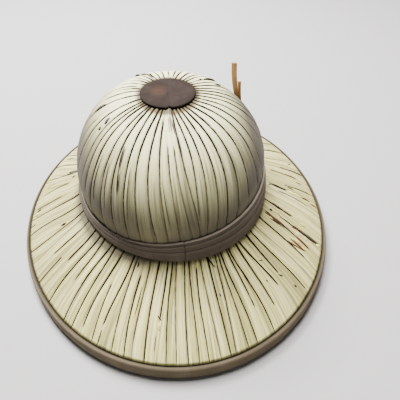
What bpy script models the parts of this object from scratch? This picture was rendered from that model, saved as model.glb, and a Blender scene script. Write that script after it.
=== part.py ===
"""Pith helmet covered in palm leaf, built as an assembly of separate pieces.

A hollow domed crown stands inside a sloping brim. A folded band hides their joint, an oval top button
covers the gathered leaf ends, and a bound hoop finishes the rim. At the back of the crown, two strips
of leaf have sprung loose.

Run it with: blender --background --python part.py
Lengths are in metres and +Z is up. The origin lies on the surface that the hat rests on, under the
middle of the rim, and the wearer's long axis runs along Y.
"""

import math

import bmesh
import bpy
from mathutils import Vector

# Rim hoop: the outline of the hat in plan, and the hoop's own section.
RIM_HALF_WIDTH = 0.1510
RIM_HALF_LENGTH = 0.1880
HOOP_HEIGHT = 0.0128
HOOP_WIDTH = 0.0040

# Brim: a pleated leaf wall that slopes from the crown down to the hoop. Its collar stands round the
# crown's foot, up to a share of the band's height.
BRIM_RISE = 0.0352
BRIM_WALL = 0.0028
BRIM_BULGE = 0.0026
BRIM_FLARE = 0.0016
BRIM_FLARE_POWER = 12
BRIM_LEAVES = 84
BRIM_PLEAT_DEPTH = 0.0007
COLLAR_WALL = 0.0016
COLLAR_SHARE = 0.55

# Crown: a domed leaf wall. Its powers make the dome fuller than half an ellipsoid.
CROWN_HALF_WIDTH = 0.0865
CROWN_HALF_LENGTH = 0.1090
CROWN_WALL = 0.0030
CROWN_SHIFT = -0.0020
CROWN_LEAVES = 48
CROWN_PLEAT_DEPTH = 0.0008
DOME_HEIGHT = 0.0715
DOME_SPREAD_POWER = 0.855
DOME_RISE_POWER = 0.830

# Band: three folds wound round the joint. Its upper edge rises on the hat's right side (+X) and sags
# on its left, where the folds are stacked close together.
BAND_HEIGHT = 0.0195
BAND_WALL = 0.0011
BAND_DIP = 0.0040
BAND_LIFT = 0.0065
BAND_SAG = 0.0115
BAND_SEAM_ANGLE = math.radians(-88.3)
BAND_SEAM_GAP = 0.0006

# Top button: a shallow oval cone closed by a slit, with a nick at its edge.
BUTTON_HALF_WIDTH = 0.0243
BUTTON_HALF_LENGTH = 0.0272
BUTTON_THICKNESS = 0.0014
BUTTON_DROP = 0.0006
NICK_ANGLE = math.radians(-90.0)
NICK_DEPTH = 0.0030
NICK_HALF_WIDTH = 0.0022

# Loose strips at the back of the crown.
SLIVER_WIDTH = 0.0070
SLIVER_THICKNESS = 0.0009

# The gap that neighbouring pieces keep.
CLEARANCE = 0.0003

# One point of the hoop's section a row: the share of its width in from the hat's outline, and the
# share of its height.
HOOP_SECTION = (
    {"inward": 1.00, "up": 0.00},
    {"inward": 0.35, "up": 0.00},
    {"inward": 0.10, "up": 0.14},
    {"inward": 0.00, "up": 0.48},
    {"inward": 0.10, "up": 0.86},
    {"inward": 0.40, "up": 1.00},
    {"inward": 0.82, "up": 1.00},
    {"inward": 1.00, "up": 0.93},
)

# One fold of the band a row, from the top fold down. The shares count from the band's lower edge to
# its upper edge, and the outsides of the folds count band walls from just clear of the collar.
BAND_FOLDS = (
    {"top_share": 1.00, "bottom_share": 0.80, "top_walls": -0.45, "bottom_walls": 0.15},
    {"top_share": 0.82, "bottom_share": 0.53, "top_walls": 0.75, "bottom_walls": 1.15},
    {"top_share": 0.55, "bottom_share": 0.00, "top_walls": 1.60, "bottom_walls": 2.20},
)
FOLD_ROUND_SHARE = 0.04
FOLD_ROUND_WALLS = 0.30

# One point of a leaf's section a row: the share across the leaf and the share of the pleat's depth.
CROWN_LEAF_SECTION = (
    {"across": 0.00, "depth": 1.0},
    {"across": 0.20, "depth": 0.0},
    {"across": 0.74, "depth": 0.1},
)
BRIM_LEAF_SECTION = (
    {"across": 0.00, "depth": 1.0},
    {"across": 0.24, "depth": 0.0},
)

# Rings of the crown, as shares of the climb from the band to the summit.
CROWN_OUTER_SHARES = (0.0, 0.10, 0.21, 0.33, 0.45, 0.57, 0.69, 0.80, 0.90, 0.965)
CROWN_INNER_SHARES = (0.0, 0.16, 0.34, 0.52, 0.70, 0.87)
# Rings of the brim, as shares of the way from the collar to the hoop.
BRIM_TOP_SHARES = (0.0, 0.05, 0.14, 0.32, 0.54, 0.78, 1.0)
BRIM_UNDER_SHARES = (1.0, 0.68, 0.34, 0.0)

# One strip a row: its bearing from +X in degrees, the heights of its foot, of the point where it
# leaves the dome and of its tip as shares of the dome's height, its widths as shares of the strips'
# width, how far it leans in as a share of its free height, and its twist in degrees.
SLIVERS = (
    {
        "name": "sprung_strip_long", "bearing": 28.0, "foot": 0.22, "leave": 0.43, "tip": 1.05,
        "foot_width": 1.00, "tip_width": 0.77, "lean": 0.16, "twist": 42.0,
    },
    {
        "name": "sprung_strip_short", "bearing": 24.8, "foot": 0.26, "leave": 0.42, "tip": 0.80,
        "foot_width": 0.50, "tip_width": 0.50, "lean": 0.13, "twist": 50.0,
    },
)
SLIVER_ROWS_ON_DOME = 4
SLIVER_ROWS_FREE = 7

RING_STEPS = 80
BAND_STEPS = 64
BUTTON_STEPS = 48
BUTTON_ROWS = 3
UNEVEN_SHARE = 0.16
UNEVEN_STEP = 2.4

SEAT_Z = HOOP_HEIGHT + BRIM_RISE
BAND_TOP_Z = SEAT_Z + BAND_HEIGHT
CROWN_TOP_Z = BAND_TOP_Z + DOME_HEIGHT
COLLAR_OUT = CLEARANCE + COLLAR_WALL
BRIM_EDGE_IN = HOOP_WIDTH + CLEARANCE
COLLAR_CLEAR = COLLAR_OUT + CLEARANCE

MATERIALS = {
    "crown_leaf": {"colour": (0.62, 0.59, 0.45), "roughness": 0.55},
    "brim_leaf": {"colour": (0.66, 0.61, 0.44), "roughness": 0.60},
    "band_cloth": {"colour": (0.13, 0.105, 0.085), "roughness": 0.75},
    "button_bark": {"colour": (0.12, 0.075, 0.055), "roughness": 0.80},
    "rim_binding": {"colour": (0.22, 0.18, 0.12), "roughness": 0.70},
    "raw_leaf": {"colour": (0.42, 0.27, 0.12), "roughness": 0.65},
}


def oval(angle, half_width, half_length, shift=0.0):
    """A point of an oval in plan, with its angle counted anticlockwise from +X."""
    return shift + half_width * math.cos(angle), half_length * math.sin(angle)


def round_angles(steps):
    """Evenly spaced angles of a whole turn."""
    return [math.tau * step / steps for step in range(steps)]


def leaf_angles(leaves, section):
    """Angles and pleat depths round the hat: each leaf's section, on leaves of uneven width."""
    edges = []
    for leaf in range(leaves + 1):
        uneven = UNEVEN_SHARE * math.sin(UNEVEN_STEP * (leaf % leaves))
        edges.append(math.tau * (leaf + uneven) / leaves)
    found = []
    for near, far in zip(edges, edges[1:]):
        for point in section:
            found.append((near + (far - near) * point["across"], point["depth"]))
    return found


def band_bottom(angle):
    """Height of the band's lower edge, which the brim's flare follows."""
    return SEAT_Z - BAND_DIP * math.cos(angle)


def band_top(angle):
    """Height of the band's upper edge."""
    right = math.cos(angle)
    return BAND_TOP_Z + (BAND_LIFT if right > 0.0 else BAND_SAG) * right


def collar_top(angle):
    """Height of the collar, which the band hides."""
    return band_bottom(angle) + (band_top(angle) - band_bottom(angle)) * COLLAR_SHARE


def foot_height(angle):
    """Height of the crown's foot, which is level with the brim's underside beside it."""
    return band_bottom(angle) - CLEARANCE - BRIM_WALL


def wall_point(angle, out, height):
    """A point beside the crown's upright wall, that far out from its surface."""
    x, y = oval(angle, CROWN_HALF_WIDTH + out, CROWN_HALF_LENGTH + out, CROWN_SHIFT)
    return Vector((x, y, height))


def dome_point(angle, climb, inset=0.0):
    """A point of the dome, where climb goes from 0 at the band to 1 at the summit."""
    quarter = climb * math.pi / 2
    spread = math.cos(quarter) ** DOME_SPREAD_POWER
    x, y = oval(
        angle,
        (CROWN_HALF_WIDTH - inset) * spread,
        (CROWN_HALF_LENGTH - inset) * spread,
        CROWN_SHIFT,
    )
    rise = (DOME_HEIGHT - inset) * math.sin(quarter) ** DOME_RISE_POWER
    return Vector((x, y, BAND_TOP_Z + rise))


def climb_at(height_share):
    """The climb at which the dome has that share of its height."""
    return math.asin(height_share ** (1 / DOME_RISE_POWER)) / (math.pi / 2)


def brim_point(angle, share, sunk=0.0):
    """A point of the brim's top, where share goes from 0 at the collar to 1 at the hoop."""
    inner = wall_point(angle, COLLAR_OUT, 0.0)
    outer = oval(angle, RIM_HALF_WIDTH - BRIM_EDGE_IN, RIM_HALF_LENGTH - BRIM_EDGE_IN)
    x = inner.x + (outer[0] - inner.x) * share
    y = inner.y + (outer[1] - inner.y) * share
    rise = band_bottom(angle) - CLEARANCE - HOOP_HEIGHT
    slope = (rise - BRIM_FLARE) * (1 - share) + BRIM_FLARE * (1 - share) ** BRIM_FLARE_POWER
    bulge = BRIM_BULGE * math.sin(math.pi * share**1.5)
    return Vector((x, y, HOOP_HEIGHT + slope + bulge - sunk))


def material(name):
    """A Principled material in the piece's colour."""
    made = bpy.data.materials.new(name)
    made.use_nodes = True
    shader = made.node_tree.nodes["Principled BSDF"]
    shader.inputs["Base Color"].default_value = (*MATERIALS[name]["colour"], 1.0)
    shader.inputs["Roughness"].default_value = MATERIALS[name]["roughness"]
    shader.inputs["Metallic"].default_value = 0.0
    return made


def finish(name, mesh, material_name, parent):
    """Turns a bmesh into a named, shaded object under the parent."""
    bmesh.ops.recalc_face_normals(mesh, faces=mesh.faces[:])
    data = bpy.data.meshes.new(name)
    mesh.to_mesh(data)
    mesh.free()
    data.shade_smooth()
    data.set_sharp_from_angle(angle=math.radians(35.0))
    data.materials.append(material(material_name))
    made = bpy.data.objects.new(name, data)
    made.parent = parent
    bpy.context.scene.collection.objects.link(made)
    return made


def add_ring(mesh, points):
    """New vertices at the points."""
    return [mesh.verts.new(point) for point in points]


def skin(mesh, rings):
    """Faces between rings of as many vertices, each ring closed on itself."""
    for lower, upper in zip(rings, rings[1:]):
        for here in range(len(lower)):
            after = (here + 1) % len(lower)
            mesh.faces.new((lower[here], lower[after], upper[after], upper[here]))


def skin_fine_to_coarse(mesh, fine, coarse):
    """Faces between a ring that has every point of a section and one that has a point a leaf."""
    per_leaf = len(fine) // len(coarse)
    for leaf in range(len(coarse)):
        after = (leaf + 1) % len(coarse)
        start = leaf * per_leaf
        outer = [fine[(start + step) % len(fine)] for step in range(per_leaf + 1)]
        mesh.faces.new(outer + [coarse[after], coarse[leaf]])


def fan(mesh, ring, tip):
    """Faces from a ring to one point."""
    top = mesh.verts.new(tip)
    for here in range(len(ring)):
        mesh.faces.new((ring[here], ring[(here + 1) % len(ring)], top))


def make_crown(parent):
    """The dome and its upright wall, pleated outside, plain inside, and open at the foot."""
    mesh = bmesh.new()
    pleats = leaf_angles(CROWN_LEAVES, CROWN_LEAF_SECTION)
    plain = [angle for angle, _ in pleats[:: len(CROWN_LEAF_SECTION)]]
    depth = CROWN_PLEAT_DEPTH
    outside = [add_ring(mesh, [wall_point(a, -depth * d, foot_height(a)) for a, d in pleats])]
    for climb in CROWN_OUTER_SHARES:
        outside.append(add_ring(mesh, [dome_point(a, climb, depth * d) for a, d in pleats]))
    skin(mesh, outside)
    fan(mesh, outside[-1], dome_point(0.0, 1.0))

    inside = [add_ring(mesh, [wall_point(a, -CROWN_WALL, foot_height(a)) for a in plain])]
    for climb in CROWN_INNER_SHARES:
        inside.append(add_ring(mesh, [dome_point(a, climb, CROWN_WALL) for a in plain]))
    skin(mesh, inside)
    fan(mesh, inside[-1], dome_point(0.0, 1.0, CROWN_WALL))
    skin_fine_to_coarse(mesh, outside[0], inside[0])
    return finish("crown", mesh, "crown_leaf", parent)


def make_brim(parent):
    """The pleated slope, with a plain collar that stands round the crown's foot."""
    mesh = bmesh.new()
    pleats = leaf_angles(BRIM_LEAVES, BRIM_LEAF_SECTION)
    plain = [angle for angle, _ in pleats[:: len(BRIM_LEAF_SECTION)]]

    def collar(out, angles, height):
        return add_ring(mesh, [wall_point(angle, out, height(angle)) for angle in angles])

    fine = [angle for angle, _ in pleats]
    top = [collar(COLLAR_OUT, fine, collar_top)]
    for share in BRIM_TOP_SHARES:
        sunk = BRIM_PLEAT_DEPTH * min(1.0, share / BRIM_TOP_SHARES[1])
        top.append(add_ring(mesh, [brim_point(a, share, sunk * depth) for a, depth in pleats]))
    skin(mesh, top)

    under = [
        add_ring(mesh, [brim_point(a, share, BRIM_WALL) for a in plain]) for share in BRIM_UNDER_SHARES
    ]
    under.append(collar(CLEARANCE, plain, foot_height))
    under.append(collar(CLEARANCE, plain, collar_top))
    skin(mesh, under)
    skin_fine_to_coarse(mesh, top[-1], under[0])
    skin_fine_to_coarse(mesh, top[0], under[-1])
    return finish("brim", mesh, "brim_leaf", parent)


def make_hoop(parent):
    """The bound hoop round the rim, whose flat foot carries the hat."""
    mesh = bmesh.new()
    rings = []
    for point in HOOP_SECTION:
        inward = HOOP_WIDTH * point["inward"]
        half_width, half_length = RIM_HALF_WIDTH - inward, RIM_HALF_LENGTH - inward
        spots = [oval(angle, half_width, half_length) for angle in round_angles(RING_STEPS)]
        rings.append(add_ring(mesh, [(x, y, HOOP_HEIGHT * point["up"]) for x, y in spots]))
    skin(mesh, rings + rings[:1])
    return finish("rim_hoop", mesh, "rim_binding", parent)


def band_section(angle):
    """The band's section there, as points round it from its upper inner edge outwards and down."""
    bottom, top = band_bottom(angle), band_top(angle)
    step_z = collar_top(angle) + CLEARANCE

    def at(walls, share):
        return wall_point(angle, COLLAR_CLEAR + walls * BAND_WALL, bottom + (top - bottom) * share)

    points = [wall_point(angle, CLEARANCE, top)]
    tuck = BAND_FOLDS[0]["top_walls"] - FOLD_ROUND_WALLS
    for fold in BAND_FOLDS:
        points.append(at(tuck, fold["top_share"]))
        points.append(at(fold["top_walls"], fold["top_share"] - FOLD_ROUND_SHARE))
        points.append(at(fold["bottom_walls"], fold["bottom_share"] + FOLD_ROUND_SHARE))
        tuck = fold["bottom_walls"]
    points.append(at(tuck - FOLD_ROUND_WALLS, 0.0))
    points.append(wall_point(angle, COLLAR_CLEAR, bottom))
    points.append(wall_point(angle, COLLAR_CLEAR, step_z))
    points.append(wall_point(angle, CLEARANCE, step_z))
    return points


def make_band(parent):
    """The folded band, a turn whose two ends meet at the seam."""
    mesh = bmesh.new()
    half_gap = BAND_SEAM_GAP / 2 / CROWN_HALF_WIDTH
    first, turn = BAND_SEAM_ANGLE + half_gap, math.tau - 2 * half_gap
    sections = [
        add_ring(mesh, band_section(first + turn * step / BAND_STEPS)) for step in range(BAND_STEPS + 1)
    ]
    skin(mesh, sections)
    mesh.faces.new(sections[0])
    mesh.faces.new(list(reversed(sections[-1])))
    return finish("hat_band", mesh, "band_cloth", parent)


def button_reach(angle):
    """The share of its oval that the button reaches there, less at the nick where its slit ends."""
    away = abs((angle - NICK_ANGLE + math.pi) % math.tau - math.pi)
    nick = max(0.0, 1.0 - away * BUTTON_HALF_WIDTH / NICK_HALF_WIDTH)
    return 1.0 - NICK_DEPTH / BUTTON_HALF_LENGTH * nick


def make_button(parent):
    """The cap over the gathered leaf ends, a little lower at its edge than at its middle."""
    mesh = bmesh.new()
    base = CROWN_TOP_Z + CLEARANCE
    angles = [NICK_ANGLE + angle for angle in round_angles(BUTTON_STEPS)]

    def ring(share, lift):
        height = base - BUTTON_DROP * share**2 + lift
        spots = []
        for angle in angles:
            reach = button_reach(angle) * share
            spots.append(oval(angle, BUTTON_HALF_WIDTH * reach, BUTTON_HALF_LENGTH * reach, CROWN_SHIFT))
        return add_ring(mesh, [(x, y, height) for x, y in spots])

    shares = [(row + 1) / BUTTON_ROWS for row in range(BUTTON_ROWS)]
    lower = [ring(share, 0.0) for share in shares]
    upper = [ring(share, BUTTON_THICKNESS) for share in reversed(shares)]
    skin(mesh, lower + upper)
    fan(mesh, lower[0], (CROWN_SHIFT, 0.0, base))
    fan(mesh, upper[-1], (CROWN_SHIFT, 0.0, base + BUTTON_THICKNESS))
    return finish("top_button", mesh, "button_bark", parent)


def sliver_path(row, outward):
    """Points along a strip that lies up the dome, just clear of it, and then springs free."""
    bearing = math.radians(row["bearing"])
    stand_off = CLEARANCE + SLIVER_THICKNESS / 2
    path = []
    for step in range(SLIVER_ROWS_ON_DOME):
        share = row["foot"] + (row["leave"] - row["foot"]) * step / (SLIVER_ROWS_ON_DOME - 1)
        path.append(dome_point(bearing, climb_at(share), -stand_off))
    leave = path[-1]
    rise = DOME_HEIGHT * (row["tip"] - row["leave"])
    for step in range(1, SLIVER_ROWS_FREE + 1):
        share = step / SLIVER_ROWS_FREE
        inward = rise * row["lean"] * (1 - (1 - share) ** 2)
        path.append(leave - outward * inward + Vector((0.0, 0.0, rise * share)))
    return path


def make_sliver(row, parent):
    """One loose strip of leaf, a thin ribbon that twists as it rises."""
    mesh = bmesh.new()
    bearing = math.radians(row["bearing"])
    outward = Vector((math.cos(bearing), math.sin(bearing), 0.0))
    tangent = Vector((-outward.y, outward.x, 0.0))
    path = sliver_path(row, outward)
    sections = []
    for step, point in enumerate(path):
        share = step / (len(path) - 1)
        free = max(0.0, (step - SLIVER_ROWS_ON_DOME + 1) / SLIVER_ROWS_FREE)
        turn = math.radians(row["twist"]) * free
        across = tangent * math.cos(turn) - outward * math.sin(turn)
        through = outward * math.cos(turn) + tangent * math.sin(turn)
        width_share = row["foot_width"] + (row["tip_width"] - row["foot_width"]) * share
        half_width = SLIVER_WIDTH * width_share / 2
        half_depth = SLIVER_THICKNESS / 2
        corners = ((1, 1), (-1, 1), (-1, -1), (1, -1))
        points = [point + across * half_width * u + through * half_depth * v for u, v in corners]
        sections.append(add_ring(mesh, points))
    skin(mesh, sections)
    mesh.faces.new(list(reversed(sections[0])))
    mesh.faces.new(sections[-1])
    return finish(row["name"], mesh, "raw_leaf", parent)


def main():
    for old in list(bpy.data.objects):
        bpy.data.objects.remove(old)
    hat = bpy.data.objects.new("pith_helmet", None)
    bpy.context.scene.collection.objects.link(hat)
    make_crown(hat)
    make_brim(hat)
    make_hoop(hat)
    make_band(hat)
    make_button(hat)
    for row in SLIVERS:
        make_sliver(row, hat)


main()
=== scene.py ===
"""Looks of the palm-leaf sun helmet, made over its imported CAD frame.

The crown and the brim are covered leaf by leaf. The band, the button, the bound rim and the sprung
strips are finished as cloth, bark and split leaf. Lengths are in metres and +Z is up.
"""

import math
import random

import bmesh
import bpy
from mathutils import Matrix, Vector, noise


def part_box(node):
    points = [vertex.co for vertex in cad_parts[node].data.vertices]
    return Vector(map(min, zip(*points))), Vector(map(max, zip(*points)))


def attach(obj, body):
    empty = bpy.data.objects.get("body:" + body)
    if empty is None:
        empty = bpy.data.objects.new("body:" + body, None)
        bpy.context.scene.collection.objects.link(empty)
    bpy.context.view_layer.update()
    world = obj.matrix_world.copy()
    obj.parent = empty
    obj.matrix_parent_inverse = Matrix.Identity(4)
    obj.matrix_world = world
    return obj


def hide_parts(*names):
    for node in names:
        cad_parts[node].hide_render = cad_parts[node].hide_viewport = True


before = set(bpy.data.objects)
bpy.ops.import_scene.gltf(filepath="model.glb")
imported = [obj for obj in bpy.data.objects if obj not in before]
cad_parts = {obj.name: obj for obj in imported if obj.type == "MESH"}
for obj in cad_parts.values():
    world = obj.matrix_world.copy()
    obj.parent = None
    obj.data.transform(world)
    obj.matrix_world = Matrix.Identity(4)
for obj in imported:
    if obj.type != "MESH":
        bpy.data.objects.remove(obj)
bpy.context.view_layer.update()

bl_info = {
    "name": "Palm-leaf sun helmet",
    "version": (1, 0, 0),
    "blender": (4, 5, 0),
    "location": "View3D > Sidebar > Hat",
    "description": "Builds the visible pieces of a sun helmet covered in palm leaf",
    "category": "Object",
}


def table(columns, *lines):
    """A table's lines as rows, with the names of its columns given once."""
    return [dict(zip(columns.split(), map(float, line))) for line in lines]


RIM_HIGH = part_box("rim_hoop")[1]
BUTTON_LOW, BUTTON_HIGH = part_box("top_button")

# Lengths of the frame that the looks have to meet.
HOOP_WIDTH = 0.0040
BRIM_RISE = 0.0352
BRIM_WALL = 0.0028
BRIM_BULGE = 0.0026
BRIM_FLARE = 0.0016
BRIM_FLARE_POWER = 12
CROWN_HALF_WIDTH = 0.0865
CROWN_HALF_LENGTH = 0.1090
CROWN_WALL = 0.0030
CROWN_SHIFT = -0.0020
DOME_HEIGHT = 0.0715
DOME_SPREAD_POWER = 0.855
DOME_RISE_POWER = 0.830
BAND_HEIGHT = 0.0195
BAND_WALL = 0.0011
BAND_DIP = 0.0040
BAND_LIFT = 0.0065
BAND_SAG = 0.0115
BAND_SEAM = math.radians(-88.3)
CLEARANCE = 0.0003
COLLAR_OUT = 0.0019
COLLAR_CLEAR = 0.0022
RIM_HALF_WIDTH = RIM_HIGH.x
RIM_HALF_LENGTH = RIM_HIGH.y
HOOP_HEIGHT = RIM_HIGH.z
SEAT_Z = HOOP_HEIGHT + BRIM_RISE
BAND_TOP_Z = SEAT_Z + BAND_HEIGHT
BRIM_EDGE_IN = HOOP_WIDTH + CLEARANCE
BUTTON_HALF_WIDTH = (BUTTON_HIGH.x - BUTTON_LOW.x) / 2
BUTTON_HALF_LENGTH = BUTTON_HIGH.y

# How far the leaf covering bulges just above the band, and the heights above the band between which
# the bulge comes and goes.
CROWN_BULGE = 0.0017
BULGE_COMES = (0.001, 0.014)
BULGE_GOES = (0.022, 0.058)

# Where along a leaf its edges are given: shares of the climb up the crown, and of the way out over
# the brim.
CROWN_STATIONS = (0.0, 0.3, 0.6, 0.85)
BRIM_STATIONS = (0.06, 0.35, 0.7, 1.0)

# One groove between two crown leaves a line: its bearing from +X in degrees at the four stations,
# how dark it is, and the climbs between which it shows.
CROWN_GROOVES = table(
    "foot low high top dark from to",
    (-190, -193, -196, -197, 1, 0, 0.95),
    (-181, -184, -185.5, -184, 1, 0, 0.95),
    (-171, -172.6, -176, -177, 1, 0, 0.5),
    (-164.5, -165.6, -168.6, -169.2, 1, 0.2, 0.95),
    (-157, -155.6, -158.4, -158.6, 1, 0.2, 0.95),
    (-151.5, -150.4, -152.8, -152, 0.9, 0.1, 0.95),
    (-145.2, -144.9, -147.2, -146, 1, 0, 1),
    (-135, -136.6, -138.6, -137.4, 1, 0, 1),
    (-126.5, -129.1, -131.7, -131.9, 1, 0, 1),
    (-118.5, -120.9, -123, -123, 1, 0, 1),
    (-111.5, -114.1, -116.3, -112.6, 0.9, 0, 1),
    (-102.7, -106.4, -108.2, -105.5, 0.9, 0, 1),
    (-96.5, -99.2, -101.1, -99.8, 0.8, 0, 0.8),
    (-90.3, -92.9, -94.9, -95, 0.8, 0, 0.62),
    (-83.9, -87.9, -89.9, -90, 0.7, 0, 0.62),
    (-79.5, -82.6, -85.4, -86.6, 0.8, 0, 0.9),
    (-78.4, -79.5, -78.4, -83.4, 0.8, 0.13, 0.9),
    (-75.6, -74, -72.1, -75.8, 0.8, 0, 1),
    (-70.1, -67.5, -65.2, -68.5, 0.8, 0, 1),
    (-63.9, -61.1, -57.5, -61.1, 1, 0, 1),
    (-56.7, -53.1, -49.5, -53.8, 0.9, 0, 1),
    (-47.5, -44.6, -39.9, -44, 0.9, 0.1, 1),
    (-37, -34.1, -29.9, -34.6, 0.9, 0.1, 1),
    (-30.5, -26.7, -21.1, -25.7, 0.8, 0.2, 1),
    (-17, -15.4, -13, -17, 0.4, 0.3, 1),
    (-6, -5, -4.3, -9, 0.7, 0.3, 1),
    (1, 2, 2.5, -1, 0.7, 0.3, 1),
    (8, 8.6, 9, 7, 0.7, 0.3, 1),
    (14.5, 15.4, 16, 14, 0.7, 0.3, 1),
)

# One groove between two brim leaves a line, in the same way, from the band out to the rim.
BRIM_GROOVES = table(
    "band inner outer rim dark from to",
    (-204.8, -207, -209.7, -212.6, 0.7, 0, 1),
    (-197.5, -199.2, -202.2, -204.4, 0.9, 0.3, 1),
    (-190.3, -191.7, -193.6, -196.1, 0.7, 0.3, 1),
    (-184.2, -185, -185.6, -186.1, 0.6, 0.3, 0.8),
    (-176.9, -177.7, -178.8, -180.9, 0.9, 0.4, 0.92),
    (-171, -172.4, -174.3, -176.5, 1, 0, 1),
    (-163.7, -165.5, -168.1, -169.7, 1, 0, 1),
    (-157.7, -159, -160.5, -162.7, 1, 0, 1),
    (-154.5, -155.4, -156, -157.6, 0.3, 0.1, 1),
    (-149.9, -151.1, -152.6, -153.6, 0.7, 0, 0.66),
    (-146.3, -147.4, -148.8, -150, 1, 0.6, 1),
    (-142.4, -143.9, -145.4, -146.2, 0.9, 0, 0.54),
    (-137.7, -139.7, -141.4, -141.9, 1, 0, 1),
    (-134.4, -135.8, -137.3, -137.9, 0.8, 0, 0.62),
    (-129.3, -132.1, -133.5, -133.5, 1, 0, 1),
    (-126.7, -128.4, -129.6, -129.9, 0.8, 0, 1),
    (-121.8, -124.2, -126, -126.1, 1, 0, 0.92),
    (-119.6, -121.5, -122.1, -122, 0.6, 0.4, 1),
    (-115.4, -117.2, -119.3, -119.8, 1, 0, 0.8),
    (-113.4, -114.6, -115.1, -115, 0.7, 0, 1),
    (-109.4, -110.7, -111.3, -110.9, 0.9, 0.2, 1),
    (-106.5, -107.4, -108.5, -108.6, 0.6, 0, 0.85),
    (-102, -103.6, -104.6, -104.8, 1, 0, 1),
    (-97.6, -99.2, -100.8, -101.7, 1, 0, 0.6),
    (-95.2, -97, -98, -98.3, 0.8, 0, 1),
    (-93.2, -94.5, -95, -95.2, 0.6, 0, 1),
    (-89.1, -90.5, -91.4, -91.7, 0.9, 0, 1),
    (-86.8, -87.7, -88.1, -88.4, 0.8, 0, 1),
    (-83, -84.8, -85.4, -85.6, 0.9, 0.1, 1),
    (-80.8, -81.5, -81.9, -82, 0.6, 0, 1),
    (-76.7, -77.7, -78.5, -78.9, 1, 0, 1),
    (-72.5, -74.3, -76.1, -77.2, 0.7, 0, 1),
    (-70.7, -71.7, -72.5, -73, 0.7, 0, 1),
    (-68.9, -69.4, -69.5, -69.9, 0.9, 0, 1),
    (-65.1, -65.4, -65.8, -66.2, 0.8, 0, 0.7),
    (-63.7, -63.2, -62.8, -63.4, 1, 0, 1),
    (-58.5, -58.6, -58.8, -59.4, 0.9, 0, 0.8),
    (-55.9, -54.4, -53.2, -53.4, 1, 0, 0.68),
    (-49.7, -49.8, -49.9, -50, 1, 0, 0.6),
    (-45.9, -45.7, -45.3, -45, 0.9, 0, 0.95),
    (-40.8, -40.6, -40.4, -40.2, 0.3, 0, 1),
    (-34.2, -34.8, -35.8, -36.4, 1, 0, 0.78),
    (-27.3, -29, -30.9, -31.6, 0.9, 0.1, 0.82),
    (-24.4, -25.6, -27, -26.3, 1, 0.3, 0.96),
    (-19.9, -20.8, -22.2, -22.8, 1, 0, 0.5),
    (-14.2, -15, -16, -16.6, 0.2, 0, 1),
    (-8.4, -9, -10.7, -12, 0.5, 0.3, 0.8),
    (-4.6, -6.4, -7.6, -6.6, 0.9, 0.2, 0.84),
    (-1.6, -3.2, -3.1, -3.3, 0.8, 0.45, 0.92),
    (7.2, 6, 4.2, 3.4, 0.9, 0.3, 0.78),
    (11.6, 10.5, 9.1, 9.1, 0.8, 0.55, 0.97),
    (16.6, 16, 15.6, 16, 0.4, 0.2, 1),
)

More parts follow.
